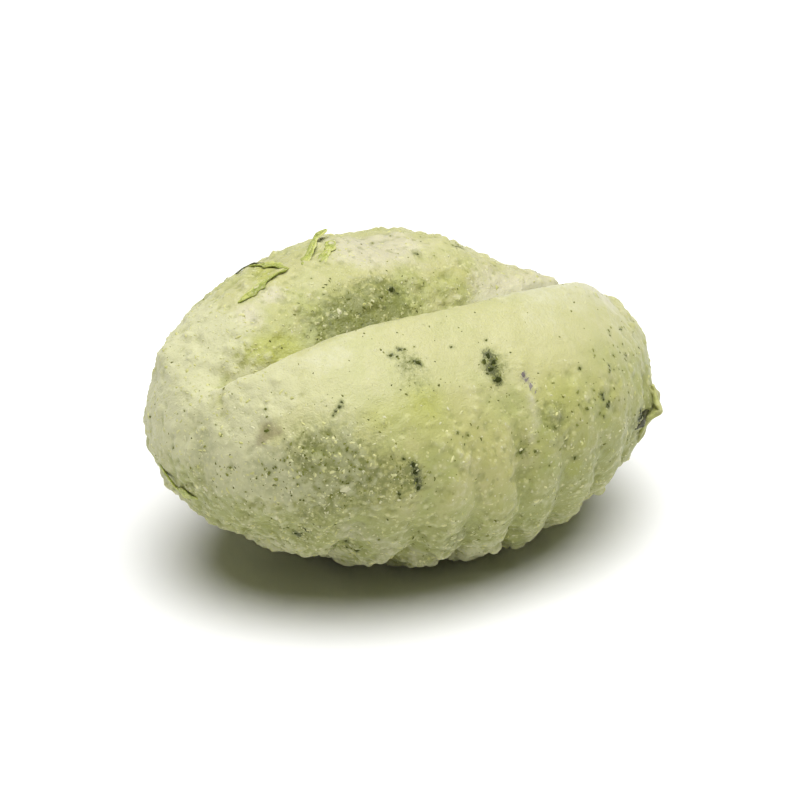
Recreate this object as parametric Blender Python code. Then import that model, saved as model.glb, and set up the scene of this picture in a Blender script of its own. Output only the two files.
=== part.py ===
"""One herb potato gnocco, rolled over a ridged board and folded by the thumb.

The dough is a single closed solid. It is an oval roll with ridges round its outside and a
fold along its top, where the thumb pressed it: the round back lobe slopes down into a narrow
cleft, and the lip of the smooth front lobe closes over it.

Metres, +Z up. +X runs along the roll, -Y is the side of the lip, and the origin lies under
the middle of the roll, on the surface that it rests on.
"""

import math

import bmesh
import bpy
from mathutils import Vector, noise

MM = 0.001

# Driving dimensions of the oval roll.
LENGTH = 32.0 * MM
WIDTH = 24.4 * MM
HEIGHT = 17.9 * MM
UNDERSIDE_CUT = 0.6 * MM  # how much of the round underside the roll's own weight flattened
END_BLUNTNESS = 2.15  # 2 would make the roll's outline an ellipse
LEFT_END_LIFT = 1.2 * MM  # how far the left end's middle stands above the roll's
LIFT_START, LIFT_END = 0.05, -0.9  # shares of the half length

# Ridges of the rolling board, cut in from the oval. They crowd a little towards the right.
RIDGE_PITCH = 3.15 * MM
RIDGE_CROWDING = 0.06 * MM
FIRST_CREST = -0.75 * MM  # where the middle ridge crosses the roll's side
RIDGE_DEPTH = 1.35 * MM
RIDGE_ROUNDNESS = 0.8  # under 1 makes the crests broader and the valleys sharper
RIDGE_SKEW = 0.46  # drops each ridge more steeply to its right than to its left
RIDGE_BOW = 1.5 * MM  # how much further right a ridge stands underneath than at the side
RIDGE_FADE_START, RIDGE_FADE_END = 0.84, 0.98  # shares of the half length
# Where the ridges grow in below the lip and fade out below the back rim, as angles round
# the roll from its top, positive towards the lip's side.
RIDGE_TOP, RIDGE_FULL = math.radians(60), math.radians(118)
RIDGE_BACK_FULL, RIDGE_BACK_TOP = math.radians(285), math.radians(318)
# Over the left of the roll they start lower by this angle, which fades over these shares.
SMOOTH_FRONT = math.radians(15)
SMOOTH_FRONT_FULL, SMOOTH_FRONT_END = -0.8, -0.2
# One valley, beside the middle crest, runs further up the flank than the rest.
HIGH_VALLEY = 0.4 * MM
HIGH_VALLEY_REACH = 2.1 * MM
HIGH_VALLEY_LEAD = math.radians(24)

# The fold, as angles like those of the ridges.
RIM_ANGLE = math.radians(-48)
LIP_ANGLE = math.radians(30)
# The fold's outline from the back rim, over the back lobe, down into the cleft and up the
# lip. Each point is (across, up) as a share of the roll's half width and half height.
FOLD_OUTLINE = (
    (math.sin(RIM_ANGLE), math.cos(RIM_ANGLE)),
    (-0.56, 0.92),
    (-0.33, 1.03),
    (-0.10, 0.985),
    (0.09, 0.84),
    (0.21, 0.67),
    (0.27, 0.52),
    (0.32, 0.39),
    (0.36, 0.52),
    (0.345, 0.72),
    (0.34, 0.86),
    (0.41, 0.905),
    (math.sin(LIP_ANGLE), math.cos(LIP_ANGLE)),
)
FOLD_LEFT_END, FOLD_LEFT_FULL = -0.99, -0.70  # shares of the half length
FOLD_RIGHT_FULL, FOLD_RIGHT_END = 0.55, 0.95
RIM_DROP = 0.37  # how much lower the back rim runs at the roll's right end
LIP_RISE = 0.05  # how much higher the lip runs there
DROP_START, DROP_END = 0.02, 0.75  # shares of the half length
LIP_SIDE, RIM_SIDE = 0.25, -0.30  # shares of the half width that part the lip from the rim
FLANK_UP, TOP_UP = 0.25, 0.85  # shares of the half height between which the drop grows in

# The dough's own unevenness.
LUMP_SIZE = 9.0 * MM
LUMP_HEIGHT = 0.45 * MM
LUMP_AT_ENDS = 0.4  # how much of a lump's height pushes the roll's ends along

# How finely the surface is divided.
STATIONS_PER_RIDGE = 8
RIDGES_EACH_WAY = 8  # counted from the middle ridge, and more than the roll has
TIP_STATIONS = (0.985, 0.9955)  # extra rings close to each pole
OUTER_POINTS = 30
POINTS_PER_FOLD_SPAN = 2

DOUGH_COLOUR = (0.62, 0.66, 0.33, 1.0)
DOUGH_ROUGHNESS = 0.85

HALF_LENGTH, HALF_WIDTH, HALF_HEIGHT = LENGTH / 2, WIDTH / 2, HEIGHT / 2


def ramp(value, start, end):
    """0 up to start, 1 from end on, and a smooth rise between them."""
    share = min(max((value - start) / (end - start), 0.0), 1.0)
    return share * share * (3 - 2 * share)


def clear_scene():
    for obj in list(bpy.data.objects):
        bpy.data.objects.remove(obj, do_unlink=True)


def girth(along):
    """The roll's thickness at a share of its half length, as a share of its thickness at the middle."""
    return math.sqrt(max(1 - abs(along) ** END_BLUNTNESS, 0.0))


def fold_depth(along):
    """1 where the fold is fully formed, and 0 at the roll's ends, where it has closed."""
    opened = ramp(along, FOLD_LEFT_END, FOLD_LEFT_FULL)
    return opened * (1 - ramp(along, FOLD_RIGHT_FULL, FOLD_RIGHT_END))


def smooth_path(points, place):
    """A point on the Catmull-Rom curve through points, with place counted in spans."""
    span = min(int(place), len(points) - 2)
    t = place - span
    before = Vector(points[max(span - 1, 0)])
    start, end = Vector(points[span]), Vector(points[span + 1])
    after = Vector(points[min(span + 2, len(points) - 1)])
    return 0.5 * (
        2 * start
        + (end - before) * t
        + (2 * before - 5 * start + 4 * end - after) * t**2
        + (3 * start - before - 3 * end + after) * t**3
    )


def on_oval(angle):
    return Vector((math.sin(angle), math.cos(angle)))


def ridge_strength(angle, along):
    """How deep the ridges are at an angle round the roll: nothing at the lip, all underneath."""
    lower = SMOOTH_FRONT * (1 - ramp(along, SMOOTH_FRONT_FULL, SMOOTH_FRONT_END))
    away = abs(along * HALF_LENGTH - HIGH_VALLEY) / HIGH_VALLEY_REACH
    higher = HIGH_VALLEY_LEAD * max(1 - away, 0)
    front = ramp(angle - lower + higher, RIDGE_TOP, RIDGE_FULL)
    back = 1 - ramp(angle, RIDGE_BACK_FULL, RIDGE_BACK_TOP)
    return front * back * (1 - ramp(abs(along), RIDGE_FADE_START, RIDGE_FADE_END))


def crest_place(number):
    """Where a ridge of the given number crosses the roll's side."""
    return FIRST_CREST + RIDGE_PITCH * number - RIDGE_CROWDING * number**2


def ridge_wave(number):
    """1 on a crest, at a whole number, and 0 in the valley just short of half way to the next."""
    turn = math.pi * number
    return abs(math.cos(turn + RIDGE_SKEW * math.sin(turn) ** 2)) ** RIDGE_ROUNDNESS


def outer_points(along, wave):
    """The ridged outside of one section, from the lip round underneath to the back rim."""
    sweep = 2 * math.pi + RIM_ANGLE - LIP_ANGLE
    for step in range(OUTER_POINTS):
        angle = LIP_ANGLE + sweep * step / OUTER_POINTS
        point = on_oval(angle)
        inward = Vector((point.x / HALF_WIDTH, point.y / HALF_HEIGHT)).normalized()
        depth = RIDGE_DEPTH * ridge_strength(angle, along) * (1 - wave)
        cut = Vector((inward.x * depth / HALF_WIDTH, inward.y * depth / HALF_HEIGHT))
        yield angle, point - cut


def fold_points(along):
    """The fold of one section, from the back rim down to the crease and up to the lip."""
    spans = len(FOLD_OUTLINE) - 1
    depth = fold_depth(along)
    for step in range(spans * POINTS_PER_FOLD_SPAN):
        place = step / POINTS_PER_FOLD_SPAN
        angle = RIM_ANGLE + (LIP_ANGLE - RIM_ANGLE) * place / spans
        yield angle, on_oval(angle).lerp(smooth_path(FOLD_OUTLINE, place), depth)


def section(station, wave):
    """The places of one ring of points round the roll."""
    along = station / HALF_LENGTH
    slope = ramp(along, DROP_START, DROP_END)
    lift = LEFT_END_LIFT * ramp(-along, -LIFT_START, -LIFT_END)
    places = []
    for angle, (across, up) in [*outer_points(along, wave), *fold_points(along)]:
        rim = ramp(-across, -LIP_SIDE, -RIM_SIDE)
        top = ramp(up, FLANK_UP, TOP_UP)
        up *= 1 - top * slope * (RIM_DROP * rim - LIP_RISE * (1 - rim))
        x = station + RIDGE_BOW * math.cos(angle) ** 2 * (1 - along**2)
        size = girth(x / HALF_LENGTH)
        places.append(Vector((x, -across * HALF_WIDTH * size, up * HALF_HEIGHT * size + lift)))
    return places


def ring_stations():
    """The place of each ring along the roll and its height on the ridges' wave."""
    reach = HALF_LENGTH * (TIP_STATIONS[0] - 0.01)
    last = RIDGES_EACH_WAY * STATIONS_PER_RIDGE
    numbers = [step / STATIONS_PER_RIDGE for step in range(-last, last + 1)]
    regular = [(crest_place(number), ridge_wave(number)) for number in numbers]
    left = [(-HALF_LENGTH * share, 1.0) for share in reversed(TIP_STATIONS)]
    right = [(HALF_LENGTH * share, 1.0) for share in TIP_STATIONS]
    return [*left, *[ring for ring in regular if abs(ring[0]) < reach], *right]


def lumped(place):
    """A place moved in or out from the roll's axis by the dough's soft unevenness."""
    outward = Vector((LUMP_AT_ENDS * place.x, place.y, place.z)).normalized()
    return place + outward * LUMP_HEIGHT * noise.noise(place / LUMP_SIZE)


def roll_mesh():
    """The closed skin of the dough, resting on z = 0."""
    shape = bmesh.new()
    floor = -HALF_HEIGHT + UNDERSIDE_CUT

    def corner(place):
        place = lumped(place)
        return shape.verts.new((place.x, place.y, max(place.z, floor) - floor))

    rings = [[corner(place) for place in section(*ring)] for ring in ring_stations()]
    for ring, following in zip(rings, rings[1:]):
        for i, point in enumerate(ring):
            j = (i + 1) % len(ring)
            shape.faces.new((point, following[i], following[j], ring[j]))
    for end, ring in ((-1, rings[0]), (1, rings[-1])):
        tip = corner(Vector((end * HALF_LENGTH, 0, LEFT_END_LIFT if end < 0 else 0)))
        for i, point in enumerate(ring):
            shape.faces.new((tip, point, ring[(i + 1) % len(ring)]))
    bmesh.ops.recalc_face_normals(shape, faces=shape.faces)
    bmesh.ops.triangulate(shape, faces=shape.faces)
    mesh = bpy.data.meshes.new("gnocco")
    shape.to_mesh(mesh)
    shape.free()
    return mesh


def centre_on_origin(mesh):
    """Moves the mesh sideways so that the middle of its outline is over the origin."""
    xs = [vertex.co.x for vertex in mesh.vertices]
    ys = [vertex.co.y for vertex in mesh.vertices]
    middle = Vector((min(xs) + max(xs), min(ys) + max(ys), 0)) / 2
    for vertex in mesh.vertices:
        vertex.co -= middle


def dough_material():
    material = bpy.data.materials.new("potato_dough")
    material.use_nodes = True
    shader = material.node_tree.nodes["Principled BSDF"]
    shader.inputs["Base Color"].default_value = DOUGH_COLOUR
    shader.inputs["Roughness"].default_value = DOUGH_ROUGHNESS
    shader.inputs["Metallic"].default_value = 0.0
    return material


def main():
    clear_scene()
    mesh = roll_mesh()
    centre_on_origin(mesh)
    mesh.materials.append(dough_material())
    mesh.shade_smooth()
    gnocco = bpy.data.objects.new("gnocco", mesh)
    bpy.context.scene.collection.objects.link(gnocco)


main()
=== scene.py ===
# %% [markdown]
# # A green potato gnocco
#
# A gnocco is a thumb-sized roll of potato dough. This one has herbs worked through it, ridges from a
# wooden board, a fold where the thumb pushed it off the board, and a dusting of flour. The packed
# solid already has the size, the fold and the ridges. This lesson gives it the skin of real dough:
# the uneven surface, the grains of flour, the specks of herb and the scraps of leaf.
#
# The solid is loaded first and never changed. Its box is kept, so that the finished looks can be
# measured against it at the end.

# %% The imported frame
import math

import bpy
import numpy as np
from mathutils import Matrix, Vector, noise
from mathutils.bvhtree import BVHTree
from mathutils.kdtree import KDTree


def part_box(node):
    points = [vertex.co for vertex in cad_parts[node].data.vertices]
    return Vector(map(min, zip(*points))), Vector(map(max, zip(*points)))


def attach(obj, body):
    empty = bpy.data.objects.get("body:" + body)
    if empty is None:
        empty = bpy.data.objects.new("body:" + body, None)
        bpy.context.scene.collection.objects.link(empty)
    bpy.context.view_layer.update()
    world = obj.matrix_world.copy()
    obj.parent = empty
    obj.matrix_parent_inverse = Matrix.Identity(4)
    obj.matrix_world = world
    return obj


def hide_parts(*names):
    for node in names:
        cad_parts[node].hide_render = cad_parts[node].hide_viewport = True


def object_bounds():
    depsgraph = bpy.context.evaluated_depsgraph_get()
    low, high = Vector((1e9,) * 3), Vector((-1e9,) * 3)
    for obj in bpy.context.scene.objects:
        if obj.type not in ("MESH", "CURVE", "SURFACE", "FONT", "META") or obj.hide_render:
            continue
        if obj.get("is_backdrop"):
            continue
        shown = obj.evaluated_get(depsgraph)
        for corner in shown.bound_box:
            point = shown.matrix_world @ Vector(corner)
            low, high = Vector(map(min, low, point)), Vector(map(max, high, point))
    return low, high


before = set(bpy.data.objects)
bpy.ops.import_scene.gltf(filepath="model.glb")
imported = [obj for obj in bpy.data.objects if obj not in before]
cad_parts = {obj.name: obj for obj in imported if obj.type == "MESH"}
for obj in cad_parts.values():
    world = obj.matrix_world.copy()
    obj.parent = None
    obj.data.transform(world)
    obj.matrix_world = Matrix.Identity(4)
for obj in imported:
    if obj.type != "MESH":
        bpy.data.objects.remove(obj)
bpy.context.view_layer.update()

MM = 0.001
solid_low, solid_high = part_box("gnocco")
print("solid, mm:", [round((high - low) / MM, 2) for low, high in zip(solid_low, solid_high)])

# %% [markdown]
# ## The skin of the dough
#
# Dough has no flat facets and no hard edges. It could be sculpted by hand over the solid, but then it
# would drift away from the solid's size. Here a copy of the solid is rounded instead: its corners
# are welded, its triangles paired up, and a subdivision surface smooths the facets away. A voxel
# remesh then spreads even quads all over it, small enough to carry grain as real shape.

# %% Helpers for working on one piece
def work_on(piece):
    """Makes this piece the only one that an operator acts on."""
    bpy.ops.object.select_all(action="DESELECT")
    piece.select_set(True)
    bpy.context.view_layer.objects.active = piece


def apply_modifier(piece, kind, **settings):
    """Adds one modifier, sets it and applies it."""
    work_on(piece)
    modifier = piece.modifiers.new(kind, kind)
    for name, value in settings.items():
        setattr(modifier, name, value)
    bpy.ops.object.modifier_apply(modifier=modifier.name)


def edit(piece, *steps):
    """Runs the steps in edit mode with everything selected."""
    work_on(piece)
    bpy.ops.object.mode_set(mode="EDIT")
    bpy.ops.mesh.select_all(action="SELECT")
    for step in steps:
        step()
    bpy.ops.object.mode_set(mode="OBJECT")


def points_of(piece):
    """The piece's points, one row each, in millimetres."""
    flat = np.empty(len(piece.data.vertices) * 3, np.float32)
    piece.data.vertices.foreach_get("co", flat)
    return flat.reshape(-1, 3).astype(float) / MM


def move_points(piece, places):
    piece.data.vertices.foreach_set("co", (places * MM).astype(np.float32).ravel())
    piece.data.update()


def keep_above_table(piece):
    """Presses flat whatever reaches below the table's top."""
    places = points_of(piece)
    places[:, 2] = np.maximum(places[:, 2], 0.0)
    move_points(piece, places)


def normals_of(piece):
    flat = np.empty(len(piece.data.vertices) * 3, np.float32)
    piece.data.vertex_normals.foreach_get("vector", flat)
    return flat.reshape(-1, 3).astype(float)


# %% A smooth copy of the solid
WELD = 1e-6
PAIRING_ANGLE = math.radians(40)
VOXEL = 0.148 * MM
FACET_SMOOTHING = 10

dough = bpy.data.objects.new("rolled_dough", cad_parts["gnocco"].data.copy())
bpy.context.scene.collection.objects.link(dough)
dough.data.materials.clear()
edit(
    dough,
    lambda: bpy.ops.mesh.remove_doubles(threshold=WELD),
    lambda: bpy.ops.mesh.tris_convert_to_quads(face_threshold=PAIRING_ANGLE, shape_threshold=PAIRING_ANGLE),
)
apply_modifier(dough, "SUBSURF", levels=1, render_levels=1)
apply_modifier(dough, "REMESH", mode="VOXEL", voxel_size=VOXEL, use_smooth_shade=True)
apply_modifier(dough, "SMOOTH", factor=0.5, iterations=FACET_SMOOTHING)
print("skin:", len(dough.data.polygons), "quads")

# %% [markdown]
# ## Where things gather
#
# Flour and crumbs don't spread evenly. They stick on the ridges that touched the board, on the end
# and the underside that lay on the floured table, and less on the smooth lip that the thumb rolled
# over. So the skin is measured first. A place on the roll is named by how far along it is, in
# millimetres, and how far round it, in degrees from the top towards the lip's side. The crests and
# grooves are found by comparing the skin with a copy that is smoothed until its ridges are gone.

# %% Measures of the skin
HALF_WIDTH, HALF_HEIGHT, AXIS_HEIGHT = 12.2, 8.9, 8.3


def ramp(value, start, end):
    """Rises smoothly from 0 at start to 1 at end."""
    share = np.clip((value - start) / (end - start), 0, 1)
    return share * share * (3 - 2 * share)


def degrees_round(places):
    across = -places[:, 1] / HALF_WIDTH
    above = (places[:, 2] - AXIS_HEIGHT) / HALF_HEIGHT
    return np.degrees(np.arctan2(across, above))


def patches(places, size, shift):
    """Soft random patches of that size, from 0 to 1."""
    found = [noise.noise(Vector(row) / size + Vector((shift, 0, 0))) for row in places]
    return np.clip(0.5 + 0.9 * np.array(found), 0, 1)


def relief(piece, smoothing, full_height):
    """1 where the skin stands full_height mm above a smoothed copy of itself, -1 where it lies below."""
    smooth = bpy.data.objects.new("smooth", piece.data.copy())
    bpy.context.scene.collection.objects.link(smooth)
    apply_modifier(smooth, "SMOOTH", factor=0.9, iterations=smoothing)
    lift = ((points_of(piece) - points_of(smooth)) * normals_of(smooth)).sum(1)
    bpy.data.objects.remove(smooth)
    return np.clip(lift / full_height, -1, 1)


# %% The zones of this roll
# Ramps run between places in mm along, back and up, or in degrees round.
RIDGE_BLUR = 160

places = points_of(dough)
along, backward, height = places.T
around = degrees_round(places)
crest = relief(dough, RIDGE_BLUR, 0.3)
# The hollow of the fold, where the dough's colour is darkened as painted shade.
fold_shade = ramp(relief(dough, RIDGE_BLUR, 1.0), -0.3, -0.85)

left_end = ramp(along, -7.5, -14.5)
low_left = ramp(height, 12, 5) * ramp(along, -3, -10)
underneath = ramp(height, 6.5, 1.5)
# Low on the sides: the dough's colour is darkened there as painted shade, and the skin roughened.
low = ramp(height, 9.5, 3.5)
low_right = ramp(height, 14, 8) * ramp(along, -1, 5) * ramp(backward, -2, -8)
low = np.clip(low + 0.85 * low_left + 0.8 * low_right, 0, 1)
lip_top = ramp(around, 8, 20) * ramp(around, 76, 36) * ramp(along, -15, -8) * ramp(along, 14, 8)
behind = ramp(around, -20, -60) * ramp(backward, 0, 5)
rim = ramp(around, 4, -8) * ramp(around, -45, -22)
ridged = np.clip(ramp(around, 48, 62) + ramp(around, -30, -45), 0, 1) * (0.3 + 0.7 * ramp(height, 1.5, 6))
right_top = ramp(along, 8, 12) * ramp(around, 80, 40) * ramp(height, 7, 11)
far_half = ramp(along, 1, 8)
near_half = 0.25 + 0.75 * ramp(along, 6, -4)
print("share on the ridges:", round(float((crest > 0).mean()), 2))

# %% How pale, floury and grainy each zone is
# Pale is a painted highlight over flour, on top of the lip, the rim, the tops of both ends and the back.
pale = (0.85 + 0.15 * far_half) * lip_top + (0.65 + 0.35 * far_half) * rim + 0.7 * right_top
pale += 0.95 * left_end * ramp(height, 8, 11)
pale = np.clip(pale + 0.3 * behind, 0, 1)
floury = 0.1 + 0.95 * left_end * (0.15 + 0.85 * ramp(height, 7.2, 10.6)) + 0.15 * np.clip(crest, 0, 1)
floury += 0.25 * underneath * (1 + ramp(along, 1, -5)) + 0.25 * behind
floury = np.clip(floury * (0.2 + 1.5 * patches(places, 2.6, 7)), 0, 1)
grainy = 0.1 + 0.6 * patches(places, 1.8, 3) + 0.3 * low_left + 0.45 * underneath * near_half
grainy = np.clip(grainy * (1 - 0.9 * lip_top) + 0.1 * left_end, 0.03, 1)
print("mean flour:", round(float(floury.mean()), 2), "mean grain:", round(float(grainy.mean()), 2))


# %% The skin as it stands, and places on it
SMALL_MOSTLY = 2.5


class Skin:
    """The dough's points and faces, and a tree to find places on it with."""

    def __init__(self, piece):
        polygons = piece.data.polygons
        self.places = points_of(piece)
        self.corners = np.array([tuple(face.vertices)[:3] for face in polygons])
        self.areas = np.array([face.area for face in polygons])
        self.normals = np.array([tuple(face.normal) for face in polygons])
        self.tree = BVHTree.FromPolygons(
            [Vector(place) for place in self.places], [tuple(face.vertices) for face in polygons]
        )

    def on_roll(self, along_mm, degrees):
        """The point at that place on the roll, and its outward direction."""
        turn = math.radians(degrees)
        outward = Vector((0, -math.sin(turn) * HALF_WIDTH, math.cos(turn) * HALF_HEIGHT))
        start = Vector((along_mm, 0, AXIS_HEIGHT)) + outward * 2
        place, normal, _, _ = self.tree.ray_cast(start, -outward.normalized())
        if place is None:
            place, normal, _, _ = self.tree.find_nearest(Vector((along_mm, 0, AXIS_HEIGHT)) + outward)
        return place, normal

    def random_spots(self, count, thickness, sizes, sink, seed):
        """Spots (place, normal, size, sink, tone), mostly small, and most where thickness is high."""
        draw = np.random.default_rng(seed)
        chance_here = self.areas * thickness[self.corners].mean(1)
        chosen = draw.choice(len(self.areas), count, p=chance_here / chance_here.sum())
        shares = draw.dirichlet((1, 1, 1), count)
        spots = (self.places[self.corners[chosen]] * shares[:, :, None]).sum(1)
        smallest, largest = sizes
        radii = smallest + (largest - smallest) * draw.random(count) ** SMALL_MOSTLY
        return list(zip(spots, self.normals[chosen], radii, np.full(count, sink), draw.random(count)))


# %% [markdown]
# ## Lumps, grains and pores
#
# The board's ridges come off sharp, and soften as the dough rests, so a Smooth modifier softens them
# first, weighted by a vertex group. Potato never mashes quite smooth either: three Displace modifiers
# push the skin in and out in knobs, dents and fine wrinkles. Noise alone looks too even, though, and
# real dough is grainy: each bit of potato pushes up a small round lump, and each lost crumb leaves a
# pore. So thousands of these are placed one by one, thickest where flour gathers, with larger ones
# underneath, and each lifts or sinks the points round it. A bump in the material would be cheaper,
# but it can't roughen the outline, and on the underside the outline is what shows the grain best. At
# the end the skin is pressed flat where it lies on the table.

# %% Knobs and dents
RIDGE_SOFTENING = 120


def weight_group(piece, name, weights):
    group = piece.vertex_groups.new(name=name)
    for number, weight in enumerate(weights):
        group.add([number], float(weight), "REPLACE")


weight_group(dough, "ridged", ridged)
apply_modifier(dough, "SMOOTH", factor=0.5, iterations=RIDGE_SOFTENING, vertex_group="ridged")
weight_group(dough, "grainy", grainy)
weight_group(dough, "rough", 0.6 - 0.3 * lip_top - 0.1 * left_end + 0.3 * low * near_half)
for title, size, strength, group in (
    ("knobs", 2.2, 0.42, "rough"),
    ("dents", 1.1, 0.26, "rough"),
    ("wrinkles", 0.4, 0.1, "grainy"),
):
    clouds = bpy.data.textures.new(title, "CLOUDS")
    clouds.noise_scale = size * MM
    apply_modifier(
        dough, "DISPLACE", texture=clouds, texture_coords="LOCAL",
        strength=strength * MM, mid_level=0.5, vertex_group=group,
    )

# %% Lumps and pores, one by one
LUMP_COUNT, CRUMB_LUMP_COUNT = 9000, 340
LUMP_RISE = 0.34
PORE_SHARE = 0.35
PORE_DEPTH = 0.8
DEEPEST, HIGHEST = -0.12, 0.2


def lumps_and_pores(piece, spots, seed):
    """Lifts the skin in a small round lump at most spots, and sinks a pore at the others."""
    draw = np.random.default_rng(seed)
    before = points_of(piece)
    tree = KDTree(len(before))
    for number, place in enumerate(before):
        tree.insert(place, number)
    tree.balance()
    lift = np.zeros(len(before))
    for place, _, reach, _, tone in spots:
        rise = LUMP_RISE * reach * (0.5 + tone)
        if draw.random() < PORE_SHARE:
            rise *= -PORE_DEPTH
        for _, number, distance in tree.find_range(place, 2 * reach):
            lift[number] += rise * math.exp(-((distance / reach) ** 2))
    lift = np.clip(lift, DEEPEST, HIGHEST)
    move_points(piece, before + normals_of(piece) * lift[:, None])
    print("lumps lift the skin by up to", round(float(lift.max()), 2), "mm")


lumps = Skin(dough).random_spots(LUMP_COUNT, grainy ** 1.3, sizes=(0.14, 0.34), sink=0, seed=61)
lumps_and_pores(dough, lumps, seed=62)
crumbly = (underneath + 0.3 * low_left) * near_half + 0.08 * left_end
crumb_lumps = Skin(dough).random_spots(CRUMB_LUMP_COUNT, crumbly, sizes=(0.3, 0.5), sink=0, seed=63)
lumps_and_pores(dough, crumb_lumps, seed=64)

# %% Dents and lumps pushed in, and the flat underside
PIMPLE_BLUR = 10
# Each push: where, how far it reaches along x, y and z, and how far it moves the skin, in mm.
PUSHES = [
    ((12.4, -7.9, 9.6), (0.8, 0.8, 0.6), (-0.35, 0.30, 0.0)),
    ((12.3, -7.9, 7.6), (0.7, 0.7, 0.9), (0.25, -0.20, 0.0)),
    ((-1.5, 5.0, 17.2), (1.9, 1.6, 1.5), (-0.10, 0.15, 0.15)),
    ((-5.4, 5.2, 17.0), (1.1, 1.5, 1.5), (0.0, -0.05, -0.25)),
    ((0.8, 4.2, 17.7), (1.8, 2.2, 1.5), (0.0, 0.0, -0.45)),
    ((5.3, 1.6, 16.4), (1.9, 2.0, 1.5), (0.0, 0.0, 0.38)),
    ((9.2, -1.9, 14.3), (2.2, 1.6, 1.5), (0.0, 0.0, 0.6)),
    ((12.8, -2.6, 13.3), (1.4, 2.5, 1.5), (-0.1, 0.0, -0.5)),
    ((14.2, -1.3, 12.3), (1.5, 2.6, 1.6), (-0.15, 0.0, -0.35)),
    ((-12.6, 0.6, 13.4), (1.7, 1.2, 1.4), (0.0, 0.0, 0.2)),
    ((-13.6, 4.0, 13.6), (1.1, 1.6, 1.1), (-0.4, 0.15, 0.35)),
    ((-10.5, -8.0, 2.6), (2.2, 1.6, 1.6), (-0.1, -0.25, -0.2)),
]

places = points_of(dough)
for where, reach, move in PUSHES:
    nearness = np.exp(-(((places - np.array(where)) / np.array(reach)) ** 2).sum(1))
    places += nearness[:, None] * np.array(move)
places[:, 2] = np.maximum(places[:, 2], 0.0)
move_points(dough, places)
pimple = relief(dough, PIMPLE_BLUR, 0.035)
skin = Skin(dough)
print("skin after grain, mm:", np.round(places.max(0) - places.min(0), 2))

# %% [markdown]
# ## Herb in the dough
#
# Chopped herb lies flush in the dough as dark flakes, and where it was rubbed in, its juice has dyed
# the dough: dull green round the flakes, bright yellow-green beside the leaf scraps. The flakes that
# stand out are set one by one, as a cook would notice them: a dark group beside the crest, another
# low on the side, a few towards the far end. Round them lie looser clusters of small ones. Every stain
# is a soft spot at a place on the roll, written to the mesh as an attribute, because then the
# material can mix it with its own noise and the edge comes out ragged.

# %% Where the herb lies
# Each flake: along in mm, degrees round, size in mm, darkness from 0 (black-green) to 1 (pale).
FLAKES = [
    (0.6, 43, 0.34, 0.05), (0.1, 45, 0.22, 0.3), (0.35, 48, 0.48, 0.0), (0.4, 52, 0.36, 0.0),
    (1.0, 38, 0.12, 0.6), (1.0, 44, 0.13, 0.4), (-0.1, 49, 0.16, 0.3), (0.65, 46, 0.3, 0.0),
    (6.1, 57, 0.17, 0.4), (8.5, 60, 0.16, 0.3), (7.1, 69, 0.2, 0.15), (7.15, 71, 0.15, 0.2),
    (7.4, 74, 0.2, 0.05), (7.55, 73, 0.14, 0.1), (10.5, 59, 0.15, 0.5), (11.2, 47, 0.15, 0.5),
    (10.7, 87, 0.22, 0.0), (10.7, 91, 0.28, 0.0), (10.6, 95, 0.22, 0.05), (0.75, 80, 0.22, 0.45),
    (4.3, 89, 0.19, 0.5), (-1.4, 37, 0.14, 0.5), (-9.5, 45, 0.2, 0.2), (-9.8, 46, 0.15, 0.2),
    (-9.3, 43.5, 0.15, 0.25), (-10.0, 47, 0.13, 0.3), (-13.1, 44, 0.24, 0.7),
    (-11.4, 109, 0.23, 0.05), (-11.6, 115, 0.28, 0.0), (-8.6, 123, 0.2, 0.3), (-8.1, 126, 0.2, 0.3),
    (-8.4, 128, 0.18, 0.35), (-6.6, 72, 0.26, 0.1), (-6.5, 75, 0.3, 0.1), (-6.4, 79, 0.3, 0.05),
    (-6.35, 82, 0.22, 0.1), (-7.1, 69, 0.16, 0.35), (-7.5, 83, 0.17, 0.3), (-5.3, 34, 0.2, 0.3),
    (-5.0, 35, 0.13, 0.4), (-4.0, 39, 0.24, 0.2), (-4.2, 38, 0.16, 0.3), (-1.1, 4, 0.28, 0.15),
    (-0.8, 5, 0.18, 0.3), (2.0, -6, 0.23, 0.35), (5.3, -8, 0.24, 0.35), (5.0, -7, 0.16, 0.5),
    (-4.6, 33, 0.22, 0.3),
]
PLUM_FLAKES = [(2.15, 53, 0.24, 0.3), (2.25, 55, 0.3, 0.5), (2.3, 57.5, 0.28, 0.7), (2.45, 60, 0.2, 0.9)]
# Each cluster of small flakes: along, degrees, spread in mm, and how many.
CLUSTERS = [
    (-11.2, 64, 1.4, 40), (-9.4, 78, 1.3, 16), (-14.2, 62, 0.8, 9), (-3.8, 9, 1.3, 30), (10.4, 55, 1.3, 18),
    (-6.6, 78, 0.6, 9), (-8.3, 122, 1.0, 12), (-3.0, 117, 1.5, 12), (-11.6, 110, 0.6, 6), (0.4, 47, 0.5, 8),
    (3.5, 108, 1.6, 9), (3.0, -9, 1.3, 8), (7.3, 71, 0.6, 5), (-4.5, 37, 0.7, 6), (2.6, 74, 1.2, 12),
    (5.0, 72, 1.2, 10), (8.5, 66, 1.2, 9), (-15.2, 35, 0.9, 9), (-15.6, 5, 0.9, 6), (-4.0, 66, 1.4, 10),
]
DEGREES_PER_MM = 5.3
HIDDEN_SIDE = (-150, -40)
chance = np.random.default_rng(11)


def hidden_places(count, smallest, largest):
    """Stains on the side away from the lip: along, degrees, reach and strength."""
    return [
        (chance.uniform(-12, 12), chance.uniform(*HIDDEN_SIDE), chance.uniform(smallest, largest),
         chance.uniform(0.4, 0.9))
        for _ in range(count)
    ]


def cluster(along_mm, degrees, spread, count):
    """Small flakes scattered round a place, from dark to pale."""
    return [
        (along_mm + spread * chance.normal(), degrees + spread * DEGREES_PER_MM * chance.normal(),
         chance.uniform(0.07, 0.17), chance.uniform(0.45, 1.2))
        for _ in range(count)
    ]


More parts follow.
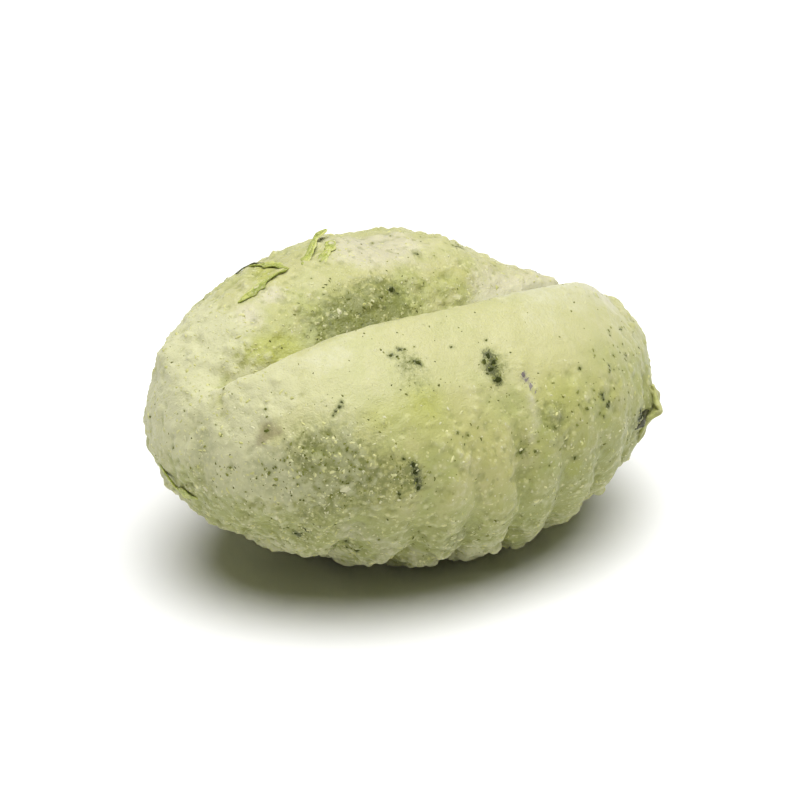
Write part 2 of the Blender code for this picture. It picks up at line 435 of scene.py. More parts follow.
hidden_herb = hidden_places(14, 0.8, 2.0)
hidden_leaf = hidden_places(8, 0.7, 1.6)
small_flakes = [flake for group in CLUSTERS for flake in cluster(*group)]
for along_mm, degrees, reach, _ in hidden_herb:
    small_flakes += cluster(along_mm, degrees, 0.6 * reach, 12)
herb_stains = [
    (-11.2, 63, 2.6, 0.7), (-9.4, 76, 2.8, 0.6), (-13.8, 63, 1.5, 0.5), (-5.8, 12, 1.8, 0.9),
    (-3.6, 10, 2.2, 1.0), (-1.5, 8, 1.5, 0.9), (1.5, 6, 1.6, 0.25), (-12.5, 88, 2.2, 0.4),
    (-4.6, 44, 1.7, 0.4), (-15.0, 18, 1.0, 0.35), (-15.6, 60, 1.2, 0.35), (-14.8, 88, 1.8, 0.4),
    (3.2, 70, 1.4, 0.6), (-15.3, 36, 1.2, 0.6), (0.9, 47, 1.1, 0.5),
    (-6.7, 77, 1.2, 0.5), (-8.6, 120, 1.3, 0.4), (0.8, 80, 0.7, 0.6), (-2.0, 6, 1.2, 0.6),
    # The spot at -3.0 mm and 115 degrees, low on the side, is painted shade as well as herb.
    (10.4, 92, 1.0, 0.6), (-3.0, 115, 2.0, 0.6), (-4.6, 37, 0.9, 0.35),
] + hidden_herb
leaf_stains = [
    (-9.4, 9, 1.0, 1.0), (-10.5, 7, 0.9, 1.0), (-11.5, 3, 0.7, 0.7), (-12.4, -2, 0.6, 0.5),
    (-7.4, -15, 1.1, 0.7), (-6.6, -21, 1.1, 0.7), (-2.8, -14, 1.0, 0.8), (-8.0, 52, 1.3, 0.45),
    (4.3, 94, 1.0, 0.6), (3.6, 62, 1.6, 0.35), (-5.6, 60, 2.8, 0.3), (-1.5, 66, 3.0, 0.3),
    (-8.6, 12, 1.2, 0.5), (-4.8, 50, 1.8, 0.45), (5.5, 62, 2.4, 0.35), (2.4, 105, 0.9, 0.4),
] + hidden_leaf
# Dried flour paste low on the side and down from the plum-coloured flakes. On the rim and along
# the top of the lip the white spots are painted highlight as well as paste.
paste_and_highlight_stains = [
    (-1.2, -12, 2.2, 1.0), (1.4, -13, 2.1, 0.9), (5.6, -6, 1.8, 0.25), (-7.9, -7, 0.9, 0.8),
    (-9.9, -5, 1.2, 0.8), (9.4, 19, 3.0, 1.0), (5.6, 16, 2.4, 0.9), (5.8, 27, 3.2, 0.4),
    (-8.5, 24, 2.6, 0.45), (11.6, 25, 1.6, 0.6), (-14.3, 8, 2.0, 0.4), (2.05, 61, 0.4, 0.6),
    (-9.2, 107, 1.5, 0.6), (-7.0, 114, 1.3, 0.5), (-6.8, 129, 1.4, 0.5), (-4.2, 131, 1.3, 0.5),
    (2.1, 66, 0.5, 0.5), (2.0, 71, 0.5, 0.5), (1.5, 76, 0.5, 0.5), (1.0, 81, 0.5, 0.4),
]
brown_stains = [(-13.1, 44, 0.6, 0.9), (-13.5, 48, 0.45, 0.6), (-12.6, 46, 0.4, 0.5)]


# %% Stains as attributes
FLAKE_SPREAD, HALO_SPREAD = 2.2, 4.0


def stain(spots):
    """The sum of soft spots (along, degrees, reach, strength), at most 1."""
    total = np.zeros(len(places))
    for along_mm, degrees, reach, strength in spots:
        distance = np.linalg.norm(places - np.array(skin.on_roll(along_mm, degrees)[0]), axis=1)
        total += strength * np.exp(-((distance / reach) ** 2))
    return np.clip(total, 0, 1)


def flush_flakes(flakes, spread):
    """1 at the middle of each flake, falling evenly to 0 at its edge."""
    nearest = np.zeros(len(places))
    for along_mm, degrees, size, tone in flakes:
        distance = np.linalg.norm(places - np.array(skin.on_roll(along_mm, degrees)[0]), axis=1)
        share = np.clip(1 - distance / (size * spread), 0, 1) * (1 - 0.6 * tone)
        nearest = np.maximum(nearest, share)
    return nearest


def write_attribute(piece, name, values):
    attribute = piece.data.attributes.new(name, "FLOAT", "POINT")
    attribute.data.foreach_set("value", np.asarray(values, np.float32))


herb_stain = stain(herb_stains)
flake_mark = flush_flakes(FLAKES + small_flakes, FLAKE_SPREAD)
halo = flush_flakes(FLAKES + PLUM_FLAKES, HALO_SPREAD)
for title, values in (
    ("flour", floury), ("crest", crest), ("fold_shade", fold_shade), ("lip", lip_top), ("low", low), ("pale", pale),
    ("pimple", pimple),
    ("herb_stain", herb_stain), ("leaf_stain", stain(leaf_stains)), ("paste_and_highlight", stain(paste_and_highlight_stains)),
    ("brown", stain(brown_stains)), ("flake", flake_mark),
    ("plum", flush_flakes(PLUM_FLAKES, FLAKE_SPREAD)),
):
    write_attribute(dough, title, values)
print("stained share:", round(float((herb_stain > 0.3).mean()), 2))

# %% [markdown]
# ## Fewer faces where the skin is plain
#
# The even grid of the remesh is finer than the smooth lip needs, and a heavy mesh is slow to use
# again. A Decimate modifier merges faces where that changes the shape least, so the knobs and pores
# keep theirs. A vertex group keeps it away from the flakes, whose outlines are held by the points.

# %% A lighter skin
KEPT_SHARE = 0.65

weight_group(dough, "plain", flake_mark <= 0)
apply_modifier(dough, "DECIMATE", ratio=KEPT_SHARE, vertex_group="plain")
keep_above_table(dough)
print("skin:", sum(len(face.vertices) - 2 for face in dough.data.polygons), "triangles")

# %% [markdown]
# ## Grains and crumbs
#
# Semolina flour is a coarse grain, up to half a millimetre. Thousands of grains could be
# instanced, but then they would be no meshes of their own. So one grain is modelled, roughened into
# three shapes, and its copies are joined into one mesh. A grain has only twenty faces, because there
# are thousands. The same helper strews larger crumbs of dough and the specks of herb.

# %% One grain, modelled
CHIP_LENGTH, CHIP_WIDTH = 1.15, 0.85


def chip(divisions, flatness, raggedness, seed):
    """A ragged little lump one unit in radius: its points and its faces."""
    bpy.ops.object.select_all(action="DESELECT")
    bpy.ops.mesh.primitive_ico_sphere_add(subdivisions=divisions, radius=1)
    lump = bpy.context.object
    edit(
        lump,
        lambda: bpy.ops.transform.vertex_random(offset=raggedness, uniform=0.6, seed=seed),
        lambda: bpy.ops.transform.resize(value=(CHIP_LENGTH, CHIP_WIDTH, flatness)),
    )
    corners = points_of(lump) * MM
    faces = np.array([tuple(face.vertices) for face in lump.data.polygons])
    bpy.data.objects.remove(lump)
    return corners, faces


# %% Many grains, joined into one mesh
def strew(name, chips, spots, seed):
    """Joins a chip for each spot (place, normal, size, sink, tone) into one mesh."""
    turns = np.random.default_rng(seed)
    all_points, all_faces, tones, count = [], [], [], 0
    for place, normal, size, sink, tone in spots:
        corners, faces = chips[turns.integers(len(chips))]
        up = Vector(normal).normalized()
        side = up.orthogonal().normalized()
        other = up.cross(side)
        angle = turns.uniform(0, 2 * math.pi)
        first = side * math.cos(angle) + other * math.sin(angle)
        second = up.cross(first)
        axes = np.array((first, second, up))
        stretch = np.array((size * turns.uniform(0.8, 1.3), size * turns.uniform(0.7, 1.1), size))
        all_points.append((corners * stretch) @ axes + np.array(place) - np.array(up) * sink * size)
        all_faces.append(faces + count)
        tones.append(np.full(len(corners), tone))
        count += len(corners)
    mesh = bpy.data.meshes.new(name)
    points = np.concatenate(all_points)
    points[:, 2] = np.maximum(points[:, 2], 0.0)
    mesh.from_pydata((points * MM).tolist(), [], np.concatenate(all_faces).tolist())
    piece = bpy.data.objects.new(name, mesh)
    bpy.context.scene.collection.objects.link(piece)
    write_attribute(piece, "tone", np.concatenate(tones))
    print(name, len(mesh.polygons), "faces")
    return piece


# %% Flour, semolina and crumbs
FLOUR_COUNT, SEMOLINA_COUNT, CRUMB_COUNT = 9400, 4200, 700

grain_thickness = np.clip(0.25 + floury + 0.4 * low_left + 0.15 * herb_stain, 0, 1)
grain_thickness = grain_thickness * (1 - 0.95 * lip_top) * (0.3 + 0.7 * np.clip(pimple + 0.3, 0, 1))
grain_chips = [chip(1, flatness, 0.3, seed) for seed, flatness in enumerate((0.75, 0.9, 0.6))]
flour_spots = skin.random_spots(FLOUR_COUNT, grain_thickness, sizes=(0.04, 0.12), sink=0.3, seed=21)
flour = strew("flour_grains", grain_chips, flour_spots, seed=22)
semolina_spots = skin.random_spots(SEMOLINA_COUNT, grain_thickness, sizes=(0.08, 0.2), sink=0.4, seed=25)
semolina = strew("semolina_grains", grain_chips, semolina_spots, seed=26)

low_edge = underneath * (1 - ramp(height, 1.2, 0.3))
crumb_thickness = (low_edge * (0.5 + low_left) + 0.15 * left_end + 0.02) * (1 - lip_top)
crumb_chips = [chip(1, flatness, 0.28, seed) for seed, flatness in ((5, 0.7), (6, 0.85))]
crumb_spots = skin.random_spots(CRUMB_COUNT, crumb_thickness, sizes=(0.13, 0.36), sink=0.5, seed=31)
crumbs = strew("dough_crumbs", crumb_chips, crumb_spots, seed=32)

# %% [markdown]
# ## Flakes and specks of herb
#
# The flush flakes are only colour so far. A real one also has a little body, so a flat chip is sunk
# into each, and fine specks are strewn at random, more of them in the stains.

# %% Flakes and specks
CHIP_SHARE = 0.75
SPECK_COUNT = 1900


def at_flakes(flakes, sink):
    return [
        (*skin.on_roll(along_mm, degrees), CHIP_SHARE * size, sink, tone)
        for along_mm, degrees, size, tone in flakes
    ]


flake_chips = [chip(2, flatness, 0.3, seed) for seed, flatness in ((41, 0.34), (42, 0.42), (43, 0.3))]
flakes = strew("herb_flakes", flake_chips, at_flakes(FLAKES, sink=0.2), seed=45)
plum = strew("plum_flakes", flake_chips, at_flakes(PLUM_FLAKES, sink=0.2), seed=46)
speck_chips = [chip(1, flatness, 0.3, seed) for seed, flatness in ((51, 0.45), (52, 0.6))]
small = strew("small_herb_flakes", speck_chips, at_flakes(small_flakes, sink=0.2), seed=47)

speck_thickness = 0.06 + 0.7 * herb_stain + 0.6 * halo + 0.2 * np.clip(-crest, 0, 1)
speck_spots = skin.random_spots(SPECK_COUNT, speck_thickness, sizes=(0.035, 0.11), sink=0.25, seed=55)
specks = strew("herb_specks", speck_chips, speck_spots, seed=56)

# %% [markdown]
# ## Scraps of leaf
#
# A few scraps of leaf were rolled into the surface and stand out of it: one lies along the fold's
# rim, one stands up beside it, one clings to the low end. A leaf is a thin sheet, so each scrap
# starts as a grid, is laid along a line on the skin, and gets its thickness from a Solidify
# modifier. Its own UV map says where its edges are, so that the material can paint shade along one
# of them and a highlight along the other. A torn flap of dough at the far end is a strip of the same
# kind, only thicker.

# %% One torn strip
FACES_ALONG, FACES_ACROSS = 18, 6


def scrap(name, line, half_width, thickness, curl, tone, seed):
    """A torn strip along a line of (along, degrees, lift) places; curl lifts one long edge."""
    bpy.ops.object.select_all(action="DESELECT")
    bpy.ops.mesh.primitive_grid_add(
        x_subdivisions=FACES_ALONG, y_subdivisions=FACES_ACROSS, size=2, calc_uvs=True,
    )
    strip = bpy.context.object
    strip.name = name
    draw = np.random.default_rng(seed)

    # The middle line on the skin, and at each of its points the way up and the way on.
    middle, up = [], []
    for along_mm, degrees, lift in line:
        place, normal = skin.on_roll(along_mm, degrees)
        middle.append(np.array(place) + np.array(normal) * lift)
        up.append(np.array(normal))
    middle, up = np.array(middle), np.array(up)
    steps = np.linspace(0, 1, len(line))
    flat = points_of(strip) * MM
    share = (flat[:, 0] + 1) / 2
    spine = np.array([np.interp(share, steps, middle[:, axis]) for axis in range(3)]).T
    rise = np.array([np.interp(share, steps, up[:, axis]) for axis in range(3)]).T
    heading = np.array([np.interp(share, steps, np.gradient(middle[:, axis])) for axis in range(3)]).T
    side = np.cross(rise, heading)
    side /= np.linalg.norm(side, axis=1)[:, None]

    # Narrow ends, a ragged edge, a lifted side and a soft wave.
    taper = np.sqrt(np.clip(1 - (2 * share - 1) ** 4, 0.03, 1)) * (1 + 0.35 * np.sin(8 * share + 2 * seed))
    ragged = 1 + 0.3 * draw.standard_normal(len(flat)) * (np.abs(flat[:, 1]) > 0.6)
    across = flat[:, 1] * half_width * taper * ragged
    lifted = curl * np.clip(flat[:, 1], 0, 1) ** 2 * (0.7 + 0.5 * np.sin(7 * share + seed))
    lifted += 0.2 * half_width * np.sin(11 * share + 5 * flat[:, 1]) * np.sin(math.pi * share)
    move_points(strip, spine + side * across[:, None] + rise * lifted[:, None])

    apply_modifier(strip, "SOLIDIFY", thickness=thickness * MM, offset=0)
    apply_modifier(strip, "SUBSURF", levels=1, render_levels=1)
    edit(strip, lambda: bpy.ops.mesh.normals_make_consistent(inside=False))
    keep_above_table(strip)
    work_on(strip)
    bpy.ops.object.shade_smooth()
    write_attribute(strip, "tone", np.full(len(strip.data.vertices), tone))
    print(name, len(strip.data.polygons), "faces")
    return strip


# %% The scraps of leaf and the flap
LEAF_THICKNESS, FLAP_THICKNESS = 0.09, 0.4
# Name, middle line as (along, degrees, lift), half width, curl, tone from dark to bright, and seed.
LEAVES = [
    ("leaf_on_rim", [(-5.9, -13, 0.0), (-6.8, -12.5, 0.06), (-7.8, -12.5, 0.06), (-8.8, -11.5, 0.05),
                     (-9.7, -12, -0.02)], 0.27, 0.1, 0.5, 1),
    ("leaf_patch", [(-5.8, -13, 0.0), (-5.9, -18, 0.05), (-6.2, -23, 0.08), (-6.7, -27, 0.0)],
     0.36, 0.06, 0.55, 2),
    ("leaf_stem", [(-5.6, -27, 0.0), (-6.1, -28.5, 0.1), (-6.8, -29.5, 0.1), (-7.5, -31, 0.0)],
     0.1, 0.02, 0.1, 6),
    ("leaf_standing", [(-5.0, -12, -0.05), (-4.1, -15, 0.1), (-2.9, -18.5, 0.3), (-1.7, -21, 0.46)],
     0.22, 0.14, 0.6, 3),
    ("leaf_beside_it", [(-3.9, -11, -0.05), (-3.2, -13, 0.02), (-2.6, -15, 0.03), (-2.0, -17, 0.0)],
     0.34, 0.03, 0.9, 7),
    ("leaf_on_low_end", [(-15.8, -80, 0.02), (-15.7, -110, 0.08), (-15.6, 167, 0.1), (-15.5, 151, 0.08),
                         (-15.3, 144, 0.05), (-15.1, 134, 0.0)], 0.27, 0.0, 0.9, 4),
    ("leaf_at_far_end", [(12.2, 95, 0.0), (11.6, 95, 0.08), (11.0, 95, 0.1), (10.3, 96, 0.0)],
     0.24, 0.08, 0.0, 5),
]
leaves = [
    scrap(name, line, half_width, LEAF_THICKNESS, curl, tone, seed)
    for name, line, half_width, curl, tone, seed in LEAVES
]
flap_line = [(12.9, 84, -0.05), (12.9, 90, 0.15), (12.6, 97, 0.25), (11.9, 103, 0.15), (11.0, 108, -0.1)]
flap = scrap("dough_flap", flap_line, 0.55, FLAP_THICKNESS, 0.2, 0.5, 8)
# The flap shares the dough's finish, so it carries three of the dough's attributes; low gives it half
# the painted shade of the low sides.
for title, value in (("low", 0.5), ("flour", 0.4), ("herb_stain", 0.15)):
    write_attribute(flap, title, np.full(len(flap.data.vertices), value))

# %% [markdown]
# ## Finishes as sums
#
# A material is a net of nodes, but its maths reads best as a sum. The class Wire wraps one socket and
# turns Python's operators into Math nodes, and a Net makes any other node from its type, its settings
# and its sockets. A Finish is the net of one material: noise for clouds and Voronoi cells for dots.
# Every pattern is measured in millimetres on the piece itself.

# %% Sockets that add up
class Wire:
    """One output of a node, so that shader maths can be written as an expression."""

    def __init__(self, net, socket):
        self.net, self.socket = net, socket

    def maths(self, operation, first, second):
        return self.net.node("ShaderNodeMath", {"operation": operation}, {0: first, 1: second})

    def __add__(self, other):
        return self.maths("ADD", self, other)

    def __sub__(self, other):
        return self.maths("SUBTRACT", self, other)

    def __rsub__(self, other):
        return self.maths("SUBTRACT", other, self)

    def __mul__(self, other):
        return self.maths("MULTIPLY", self, other)

    __radd__, __rmul__ = __add__, __mul__

    def also(self, output):
        """Another output of the same node."""
        return Wire(self.net, self.socket.node.outputs[output])


# %% Any other node
class Net:
    """The nodes of one material, or of the world."""

    def __init__(self, tree):
        self.tree = tree
        tree.nodes.clear()

    def node(self, kind, settings=None, sockets=None, output=0):
        """Makes a node, sets it, then fills or links its sockets; gives back one output."""
        made = self.tree.nodes.new(kind)
        for name, value in (settings or {}).items():
            setattr(made, name, value)
        for name, value in (sockets or {}).items():
            if isinstance(value, Wire):
                self.tree.links.new(value.socket, made.inputs[name])
            else:
                made.inputs[name].default_value = value
        return Wire(self, made.outputs[output]) if len(made.outputs) else made

    def step(self, value, start, end, low=0.0, high=1.0):
        """low on start's side, high on end's side, and smooth between."""
        return self.node(
            "ShaderNodeMapRange", {"interpolation_type": "SMOOTHSTEP"},
            {"Value": value, "From Min": start, "From Max": end, "To Min": low, "To Max": high},
        )


# %% The patterns of a finish
class Finish(Net):
    """One material and the patterns that it is made of."""

    def __init__(self, name):
        self.material = bpy.data.materials.new(name)
        self.material.use_nodes = True
        super().__init__(self.material.node_tree)
        own = self.node("ShaderNodeTexCoord", output="Object")
        self.place = self.node(
            "ShaderNodeVectorMath", {"operation": "SCALE"}, {0: own, "Scale": 1 / MM}
        )

    def attribute(self, name):
        return self.node("ShaderNodeAttribute", {"attribute_name": name}, output="Fac")

    def clouds(self, size, detail=2.0, roughness=0.5, warp=0.0):
        """Noise whose patches are that many millimetres wide."""
        return self.node(
            "ShaderNodeTexNoise", {},
            {"Vector": self.place, "Scale": 1 / size, "Detail": detail, "Roughness": roughness,
             "Distortion": warp},
            output="Fac",
        )

    def dots(self, size, radius, share, edge=0.0):
        """Round specks of up to that radius, in that share of cells that are size mm wide."""
        distance = self.node(
            "ShaderNodeTexVoronoi", {"feature": "F1"}, {"Vector": self.place, "Scale": 1 / size},
            output="Distance",
        )
        draw = self.node("ShaderNodeSeparateColor", {}, {0: distance.also("Color")}, output="Red")
        reach = radius / size
        shape = distance + edge + draw.also("Green") * reach * 0.6
        return self.step(shape, reach, reach * 0.5) * self.step(draw, 1 - share, 1.02 - share)

    def mix(self, share, first, second):
        """first where share is 0 and second where it is 1."""
        return self.node(
            "ShaderNodeMix", {"data_type": "RGBA", "clamp_factor": True}, {0: share, 6: first, 7: second},
            output=2,
        )

    def bump(self, height, depth, strength=1.0, below=None):
        sockets = {"Height": height, "Distance": depth * MM, "Strength": strength}
        if below is not None:
            sockets["Normal"] = below
        return self.node("ShaderNodeBump", {}, sockets)

    def surface(self, **sockets):
        named = {name.replace("_", " "): value for name, value in sockets.items()}
        shader = self.node("ShaderNodeBsdfPrincipled", {}, named)
        self.node("ShaderNodeOutputMaterial", {}, {"Surface": shader})
        print(self.material.name, "has", len(self.tree.nodes), "nodes")
        return self.material


def paint(red, green, blue):
    """A colour as a colour picker shows it, 0 to 255, made linear by the sRGB curve."""

    def linear(value):
        value /= 255
        return value / 12.92 if value <= 0.04045 else ((value + 0.055) / 1.055) ** 2.4

    return (linear(red), linear(green), linear(blue), 1.0)


# %% [markdown]
# ## The dough's finish
#
# The dough is a pale yellow-green that is never quite even: paler and warmer where flour was kneaded
# in, greener where the herb's juice went. Flour lies on it in thin broken patches. Dough lets a
# little light in, so it has some subsurface scattering, and flour gives it a soft sheen. Light is
# painted into the colour as well: a painted highlight over the flour on top of the lip, the rim and
# the ends, and painted shade low on the sides, in the grooves, in the pores and in the fold. The
# colours are laid over each other, one function for each: first the kneaded dough, then its stains,
# then its pores and dots. The flour comes next, and the dark flakes last, because they show through it.

# %% Dough as it was kneaded
def kneaded(net, middling, rough_part):
    """Uneven yellow-green, paler where flour was worked in; painted highlight on top, painted shade low and
    in grooves.
    """
    broad, mottle = net.clouds(4.2, 2, 0.5, 0.4), net.clouds(0.8, 3, 0.6)
    colour = net.mix(net.step(broad, 0.35, 0.65), paint(176, 174, 108), paint(164, 168, 98))
    colour = net.mix(net.step(middling, 0.45, 0.7) * 0.5, colour, paint(186, 180, 128))
    colour = net.mix(net.step(mottle, 0.48, 0.72) * rough_part * 0.4, colour, paint(150, 150, 78))
    # Painted highlight over flour on the lip, the rim, the ends and the back.
    colour = net.mix(net.attribute("pale") * (0.5 + middling * 0.7), colour, paint(191, 189, 140))
    # Painted shade low on the sides.
    colour = net.mix(net.attribute("low") * 0.78, colour, paint(141, 146, 78))
    # Painted shade in the grooves between the ridges.
    groove_shade = net.step(net.attribute("crest") * -1.0, 0.1, 0.9)
    return net.mix(groove_shade * 0.35, colour, paint(148, 152, 76))


# %% Juice, paste and painted highlight, and the painted shade of the fold
def stained(net, colour, middling, fine, speckle):
    """Bright leaf juice, white paste and painted highlight, dull green herb, painted shade in the fold."""
    leaf = net.step(net.attribute("leaf_stain") * (0.45 + middling), 0.2, 0.9)
    colour = net.mix(leaf * 0.75, colour, paint(166, 170, 68))
    # White spots of dried paste, and on the rim and the lip a painted highlight, whiter on the lip.
    paste_and_highlight = net.step(net.attribute("paste_and_highlight") + (middling - 0.5) * 0.6 + (fine - 0.5) * 0.5, 0.2, 0.9)
    paste_and_highlight_colour = net.mix(net.attribute("lip"), paint(199, 193, 166), paint(206, 206, 180))
    colour = net.mix(paste_and_highlight * 0.75, colour, paste_and_highlight_colour)
    uneven = 0.3 + middling + (fine - 0.5) * 2.2 + (speckle - 0.5) * 1.2
    herb = net.step(net.attribute("herb_stain") * uneven, 0.12, 0.7)
    colour = net.mix(herb * 0.78, colour, paint(108, 114, 44))
    # Painted shade in the fold.
    return net.mix(net.attribute("fold_shade") * (0.4 + middling * 0.6), colour, paint(138, 138, 50))


# %% Painted shade in the pores, and dots
def dotted(net, colour, pore_shade, pale_dots, ragged, rough_part):
    """Painted shade in the pores, then pale and dark dots, more of the dark ones where herb was rubbed in.
    """
    herb = net.attribute("herb_stain")
    # Painted shade in the pores.
    colour = net.mix(pore_shade * 0.4, colour, paint(128, 133, 66))
    colour = net.mix(pale_dots * 0.5, colour, paint(206, 204, 148))
    dark_dots = net.dots(0.62, 0.2, 0.28, ragged * 0.4) * rough_part
    colour = net.mix(dark_dots * (0.4 + herb * 0.4), colour, paint(104, 107, 44))
    herb_dots = net.dots(0.42, 0.22, 0.5, ragged * 0.4) * herb
    return net.mix(herb_dots * 0.55, colour, paint(86, 92, 44))


# %% Bruise and flakes
def flaked(net, colour, fine, ragged):
    """The brown bruise, then plum-coloured and dark flakes, the dark ones with a halo of juice."""
    bruise = net.step(net.attribute("brown") + (fine - 0.5) * 0.8, 0.2, 0.8)
    colour = net.mix(bruise * 0.6, colour, paint(136, 124, 90))
    plum = net.step(net.attribute("plum") + ragged, 0.3, 0.7)
    colour = net.mix(plum * 0.7, colour, paint(128, 122, 118))
    flake = net.attribute("flake")
    colour = net.mix(net.step(flake + (fine - 0.5) * 0.9, 0.05, 0.7) * 0.6, colour, paint(112, 118, 50))
    return net.mix(net.step(flake + ragged, 0.42, 0.75) * 0.85, colour, paint(60, 66, 18))


# %% Dough
def dough_finish():
    net = Finish("herb_dough")
    middling, fine = net.clouds(1.3, 3, 0.6, 0.3), net.clouds(0.34, 3, 0.6)
    speckle, hair = net.clouds(0.2, 2, 0.6), net.clouds(0.1, 2, 0.6)
    ragged = (hair - 0.5) * 0.6 + (speckle - 0.5) * 0.6
    pimple, rough_part = net.attribute("pimple"), 1 - net.attribute("lip") * 0.85

    colour = kneaded(net, middling, rough_part)
    colour = stained(net, colour, middling, fine, speckle)
    # Painted shade where the skin dips below its smoothed copy, in the pores.
    pore_shade = net.step(pimple * -1.0 + (speckle - 0.5), 0.1, 0.9) * rough_part
    pale_dots = net.dots(0.56, 0.24, 0.45, ragged * 0.4) + net.dots(0.33, 0.14, 0.4, ragged * 0.3)
    pale_dots = pale_dots * rough_part
    colour = dotted(net, colour, pore_shade, pale_dots, ragged, rough_part)
    uneven = pimple * 0.3 + (middling - 0.5) * 0.7 + (fine - 0.5) * 1.4
    dusting = net.step(net.attribute("flour") + uneven, 0.25, 0.9)
    dust_share = dusting * (0.3 + rough_part * 0.35) * (1 - net.attribute("herb_stain") * 0.25)
    colour = net.mix(dust_share, colour, paint(200, 199, 161))
    colour = flaked(net, colour, fine, ragged)

    grain = net.bump(speckle + hair * 0.6 + pale_dots * 0.8, 0.05, 0.7)
    return net.surface(
        Base_Color=colour,
        Roughness=0.48 + dusting * 0.3,
        Normal=net.bump(fine, 0.07, 0.5, grain),
        IOR=1.45,
        Subsurface_Weight=0.2,
        Subsurface_Radius=(1.0, 0.95, 0.4),
        Subsurface_Scale=0.7 * MM,
        Sheen_Weight=0.15,
        Sheen_Roughness=0.5,
    )


# %% [markdown]
# ## Flour, crumbs, herb and leaf
#
# The small pieces each carry a tone, from 0 to about 1, so that no two grains look cut from one
# block. A grain of flour is ivory and dry. Herb is nearly black where the flake is thick, and
# green-brown where it is thin. A scrap of leaf is bright yellow-green, with painted shade along one
# edge and a painted highlight along the other.

# %% Flour and crumbs
def grain_finish(name, pale, deep, roughness):
    net = Finish(name)
    tone, mottle = net.attribute("tone"), net.clouds(0.2, 2, 0.5)
    colour = net.mix(tone, deep, pale)
    colour = net.mix(net.step(mottle, 0.5, 0.8) * 0.4, colour, pale)
    return net.surface(
        Base_Color=colour,
        Roughness=roughness + mottle * 0.2,
        Normal=net.bump(mottle, 0.02, 0.5),
        Subsurface_Weight=0.2,
        Subsurface_Radius=(1.0, 0.95, 0.6),
        Subsurface_Scale=0.3 * MM,
    )


# %% Herb flakes and leaf scraps
def herb_finish(name, dark, thin):
    net = Finish(name)
    tone, mottle = net.attribute("tone"), net.clouds(0.16, 3, 0.6)
    colour = net.mix(tone * 0.8 + (mottle - 0.5) * 0.6, dark, thin)
    return net.surface(
        Base_Color=colour,
        Roughness=0.6 + mottle * 0.25,
        Normal=net.bump(mottle, 0.04, 0.7),
        Specular_IOR_Level=0.12,
    )


def leaf_finish():
    net = Finish("torn_leaf")
    own_map = net.node("ShaderNodeTexCoord", output="UV")
    across = net.node("ShaderNodeSeparateXYZ", {}, {0: own_map}, output="Y")
    veins, mottle = net.clouds(0.3, 3, 0.6, 1.5), net.clouds(0.7, 2, 0.5)
    colour = net.mix(net.step(veins, 0.4, 0.65), paint(140, 150, 62), paint(186, 190, 104))
    colour = net.mix(net.step(mottle, 0.5, 0.7) * 0.6, colour, paint(122, 132, 54))
    tone = net.attribute("tone")
    # Painted shade along one long edge of the scrap.
    shaded_edge = net.step(across + (veins - 0.5) * 1.2, 0.7, 0.98)
    colour = net.mix(shaded_edge * (0.75 - tone * 0.75), colour, paint(104, 110, 40))
    # Painted highlight along the other long edge.
    highlit_edge = net.step(across + (veins - 0.5) * 0.4, 0.3, 0.08)
    colour = net.mix(highlit_edge * 0.6, colour, paint(208, 210, 136))
    colour = net.mix(net.step(tone, 0.0, 0.4), paint(62, 62, 34), colour)
    dust = net.step(net.clouds(0.16, 3, 0.7), 0.52, 0.66) * (0.15 + tone * 0.6)
    colour = net.mix(dust, colour, paint(198, 196, 148))
    return net.surface(
        Base_Color=colour,
        Roughness=0.45 + mottle * 0.2,
        Normal=net.bump(veins, 0.06, 0.8),
        Subsurface_Weight=0.3,
        Subsurface_Radius=(0.8, 1.0, 0.3),
        Subsurface_Scale=0.3 * MM,
    )


# %% Each piece gets its finish and its place
def give(piece, finish, replaced=None):
    piece.data.materials.clear()
    piece.data.materials.append(finish)
    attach(piece, "root")
    if replaced:
        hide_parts(replaced)


give(dough, dough_finish(), "gnocco")
give(flap, bpy.data.materials["herb_dough"])
give(flour, grain_finish("dry_flour", paint(208, 206, 164), paint(186, 186, 126), 0.5))
give(semolina, grain_finish("semolina", paint(205, 203, 146), paint(182, 182, 110), 0.5))
give(crumbs, grain_finish("dough_crumb", paint(198, 196, 156), paint(172, 174, 116), 0.6))
give(flakes, herb_finish("chopped_herb", paint(46, 52, 14), paint(106, 112, 48)))
give(small, herb_finish("small_herb", paint(66, 72, 26), paint(136, 140, 72)))
give(specks, herb_finish("fine_herb", paint(76, 80, 32), paint(138, 140, 72)))
give(plum, herb_finish("plum_herb", paint(88, 80, 82), paint(160, 154, 142)))
leaf = leaf_finish()
for strip in leaves:
    give(strip, leaf)
print("finishes given:", len(bpy.data.materials))

# %% [markdown]
# ## The studio
#
# The gnocco lies on a plain white surface under one wide, soft light that hangs almost straight
# above it, so its top is bright, its sides fall off gently and a soft shadow lies beneath it. The
# world gives a weak fill that is brighter at the horizon, so that the surface has no visible end.

# %% Floor and light
FLOOR_REACH = 4.0
FLOOR_WHITE = (0.92, 0.92, 0.92, 1)
LIGHT_STRENGTH = 4.75
LIGHT_SPREAD = math.radians(65)
LIGHT_LEAN = (math.radians(3.5), math.radians(1.5), 0)

bpy.ops.object.select_all(action="DESELECT")
bpy.ops.mesh.primitive_plane_add(size=2 * FLOOR_REACH, location=(0, 0, 0))
floor = bpy.context.object
floor.name = "white_floor"
floor_finish = Finish("white_table")
floor.data.materials.append(
    floor_finish.surface(Base_Color=FLOOR_WHITE, Roughness=0.6, Specular_IOR_Level=0.2)
)
floor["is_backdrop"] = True

sun = bpy.data.lights.new("soft_light", "SUN")
sun.energy = LIGHT_STRENGTH
sun.angle = LIGHT_SPREAD
lamp = bpy.data.objects.new("soft_light", sun)
lamp.rotation_euler = LIGHT_LEAN
bpy.context.scene.collection.objects.link(lamp)
print("light:", sun.energy, "over", round(math.degrees(sun.angle)), "degrees")

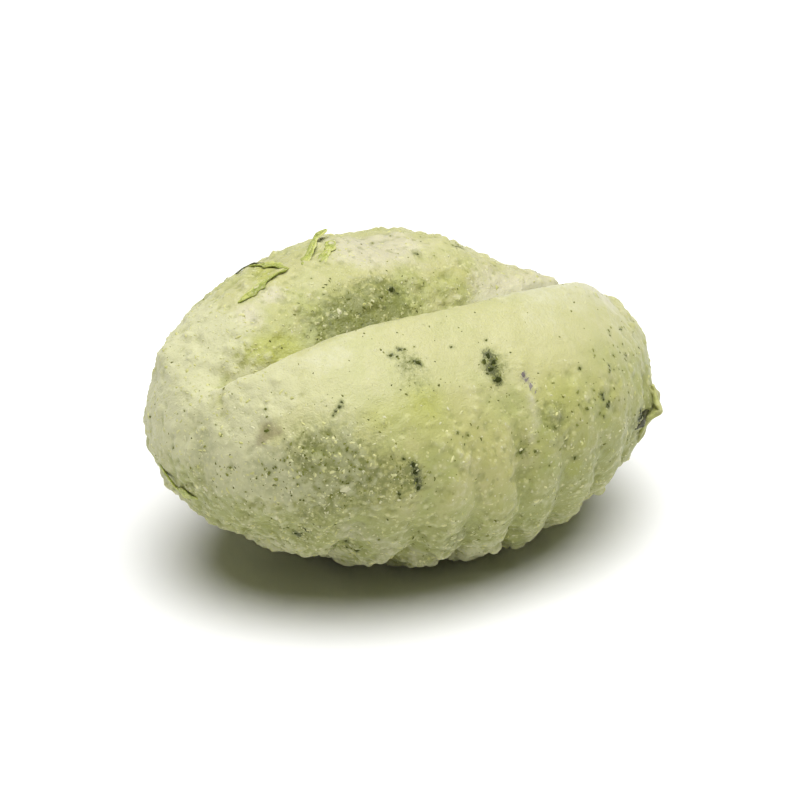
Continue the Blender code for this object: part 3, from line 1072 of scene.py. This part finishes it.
# %% The studio's fill
FILL, HORIZON = 0.025, 1.1
BAND_LOW, BAND_HIGH = 0.02, 0.08

world = bpy.data.worlds.new("studio")
bpy.context.scene.world = world
world.use_nodes = True
air = Net(world.node_tree)
direction = air.node("ShaderNodeTexCoord", output="Generated")
upward = air.node("ShaderNodeSeparateXYZ", {}, {0: direction}, output="Z")
strength = air.step(upward, BAND_LOW, BAND_HIGH, HORIZON, FILL)
glow = air.node("ShaderNodeBackground", {}, {"Color": (1, 1, 1, 1), "Strength": strength})
air.node("ShaderNodeOutputWorld", {}, {"Surface": glow})
print("fill:", HORIZON, "at the horizon,", FILL, "above it")

# %% [markdown]
# ## The camera
#
# A long lens from far off keeps the roll's shape true. The camera looks down on it by 27 degrees,
# from the side where the lip closes the fold, with the roll pointing away to the right.

# %% Camera
VIEW_TURN = math.radians(-34)
VIEW_DOWN = math.radians(27)
VIEW_DISTANCE = 383 * MM
VIEW_WIDTH = 47 * MM
SENSOR_WIDTH = 36
NEAREST, FARTHEST = 0.01, 20
LOOK_AT = Vector((0, 0, 8.5 * MM))

camera = bpy.data.cameras.new("camera")
eye = bpy.data.objects.new("camera", camera)
bpy.context.scene.collection.objects.link(eye)
back = Vector((
    math.sin(VIEW_TURN) * math.cos(VIEW_DOWN),
    -math.cos(VIEW_TURN) * math.cos(VIEW_DOWN),
    math.sin(VIEW_DOWN),
))
eye.location = LOOK_AT + back * VIEW_DISTANCE
eye.rotation_mode = "QUATERNION"
eye.rotation_quaternion = (-back).to_track_quat("-Z", "Y")
camera.sensor_width = SENSOR_WIDTH
camera.lens = SENSOR_WIDTH * VIEW_DISTANCE / VIEW_WIDTH
camera.clip_start, camera.clip_end = NEAREST, FARTHEST
bpy.context.scene.camera = eye
bpy.context.scene.view_settings.view_transform = "Standard"
print("lens:", round(camera.lens), "mm, at", [round(part / MM) for part in eye.location], "mm")

# %% Size against the solid
visual_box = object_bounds()
for name, low, high in zip("xyz", *visual_box):
    print(name, "from", round(low / MM, 2), "to", round(high / MM, 2), "mm")
